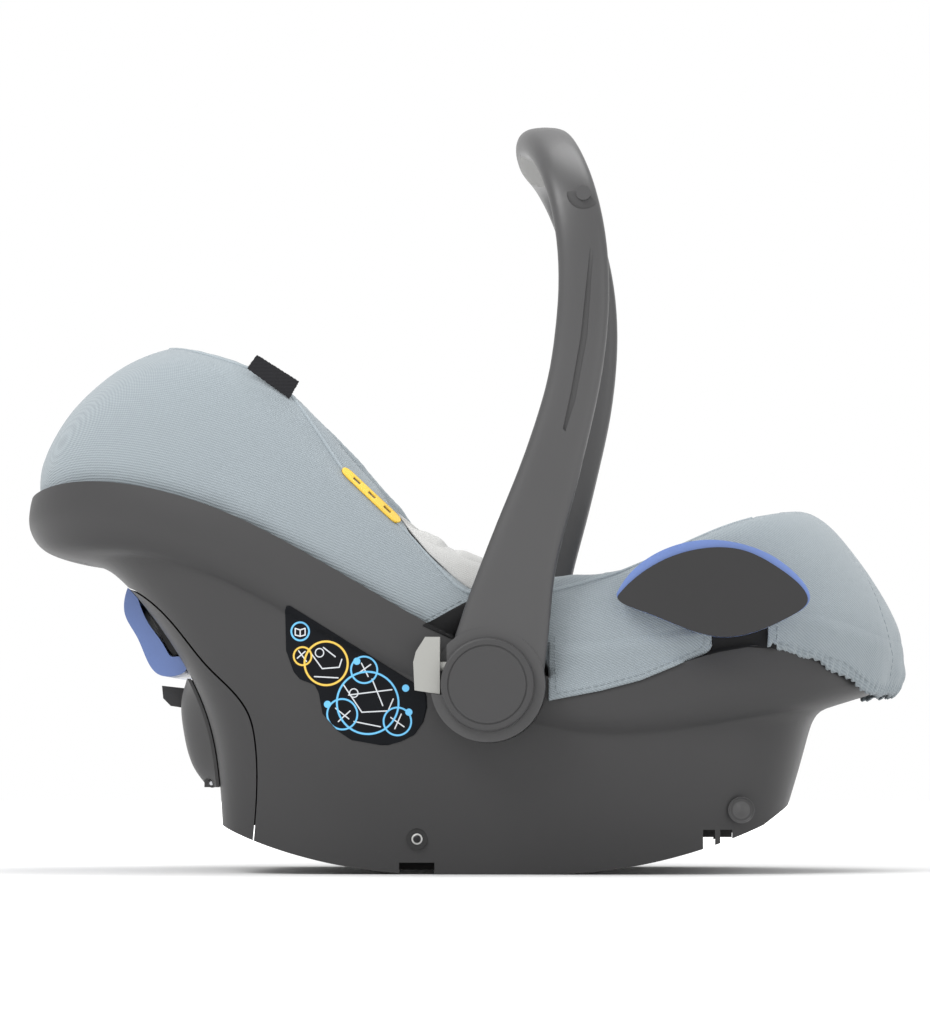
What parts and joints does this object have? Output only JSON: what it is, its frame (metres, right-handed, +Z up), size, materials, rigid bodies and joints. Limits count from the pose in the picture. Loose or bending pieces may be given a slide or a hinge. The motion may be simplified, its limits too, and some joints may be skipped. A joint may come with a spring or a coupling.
{
  "type": "infant car seat",
  "caption": "Rear-facing infant carrier: rocker-bottom shell, swinging bow handle, padded quilted lining, harness, belt guides and a rear storage compartment.",
  "frame": {"origin": "on the floor under the middle of the whole part's bounding box", "axes": "+X from the head end to the foot end, +Y to the child's left, +Z up"},
  "size_m": [0.6897, 0.4402, 0.5796],
  "materials": {
    "shell_plastic": "satin dark grey",
    "hub_plastic": "satin dark grey",
    "inner_plastic": "matt black",
    "steel": "zinc plated",
    "guide_plastic": "satin periwinkle blue",
    "lens_plastic": "dark blue-black, glossy",
    "label_print": "satin film",
    "handle_plastic": "satin dark grey",
    "grip_plastic": "fine grained",
    "button_plastic": "light grey",
    "cover_fabric": "fine ribbed weave",
    "inlay_fabric": "soft jersey",
    "pad_fabric": "soft weave",
    "webbing": "woven webbing",
    "tab_fabric": "woven tape",
    "holder_plastic": "satin yellow",
    "buckle_plastic": "fine grained black",
    "red_plastic": "satin red"
  },
  "bodies": {
    "shell": {"adjuster_housing": "buckle_plastic", "bar_cap_left": "shell_plastic", "bar_cap_right": "shell_plastic", "base_pan": "inner_plastic", "base_screws": "steel", "belt_hook_cover_left": "lens_plastic", "belt_hook_cover_right": "lens_plastic", "belt_hook_left": "guide_plastic", "belt_hook_right": "guide_plastic", "buckle_body": "buckle_plastic", "buckle_spring": "steel", "buckle_tongue_left": "steel", "buckle_tongue_right": "steel", "crotch_pad": "pad_fabric", "crotch_strap": "webbing", "dock_bar_front": "steel", "dock_bar_rear": "steel", "dock_bush_left": "inner_plastic", "dock_bush_right": "inner_plastic", "hub_base_left": "hub_plastic", "hub_base_right": "hub_plastic", "inner_tub": "inner_plastic", "instruction_label_left": "label_print", "instruction_label_right": "label_print", "label_tab": "tab_fabric", "lid_hinge_pins": "steel", "outer_shell": "shell_plastic", "pivot_bolt_left": "steel", "pivot_bolt_right": "steel", "rear_belt_guide": "guide_plastic", "rear_cover": "shell_plastic", "rear_guide_backing": "inner_plastic", "seat_cover": "cover_fabric", "seat_inlay": "inlay_fabric", "shoulder_pad_left": "pad_fabric", "shoulder_pad_right": "pad_fabric", "shoulder_strap_left": "webbing", "shoulder_strap_right": "webbing", "storage_bin": "inner_plastic", "strap_holder_left": "holder_plastic", "strap_holder_right": "holder_plastic"},
    "handle": {"handle_bow": "handle_plastic", "handle_grip": "grip_plastic", "hub_cap_right": "hub_plastic", "hub_cap_left": "hub_plastic", "canopy_stud_right": "handle_plastic", "canopy_stud_left": "handle_plastic", "button_spring_right": "steel", "button_spring_left": "steel"},
    "handle_button_right": {"handle_button_right": "button_plastic"},
    "handle_button_left": {"handle_button_left": "button_plastic"},
    "storage_lid": {"storage_lid": "shell_plastic"},
    "release_lever": {"release_lever": "shell_plastic"},
    "buckle_button": {"buckle_button": "red_plastic"},
    "adjuster_button": {"adjuster_button": "red_plastic"}
  },
  "joints": [
    {"name": "handle_swing", "type": "hinge", "parent": "shell", "child": "handle", "pos_m": [0.027, 0, 0.143], "axis": [0, 1, 0], "range_deg": [-105, 0]},
    {"name": "handle_button_right_press", "type": "slide", "parent": "handle", "child": "handle_button_right", "axis": [1, 0, 0], "range_m": [0, 0.005], "stiffness_N_per_m": 500, "springref_m": -0.003, "deforming": ["button_spring_right"]},
    {"name": "handle_button_left_press", "type": "slide", "parent": "handle", "child": "handle_button_left", "axis": [1, 0, 0], "range_m": [0, 0.005], "stiffness_N_per_m": 500, "springref_m": -0.003, "deforming": ["button_spring_left"]},
    {"name": "storage_lid_swing", "type": "hinge", "parent": "shell", "child": "storage_lid", "pos_m": [-0.19254, 0, 0.069], "axis": [0, -1, 0], "range_deg": [0, 45]},
    {"name": "release_lever_squeeze", "type": "hinge", "parent": "shell", "child": "release_lever", "pos_m": [-0.304, 0, 0.24955], "axis": [0, 1, 0], "range_deg": [0, 15], "stiffness_Nm_per_rad": 0.4, "springref_deg": -14.32},
    {"name": "buckle_button_press", "type": "slide", "parent": "shell", "child": "buckle_button", "axis": [0, 0, -1], "range_m": [0, 0.003], "stiffness_N_per_m": 900, "springref_m": -0.002, "deforming": ["buckle_spring"]},
    {"name": "adjuster_press", "type": "slide", "parent": "shell", "child": "adjuster_button", "axis": [0.8669, 0, -0.4985], "range_m": [0, 0.004], "stiffness_N_per_m": 500, "springref_m": -0.002}
  ]
}
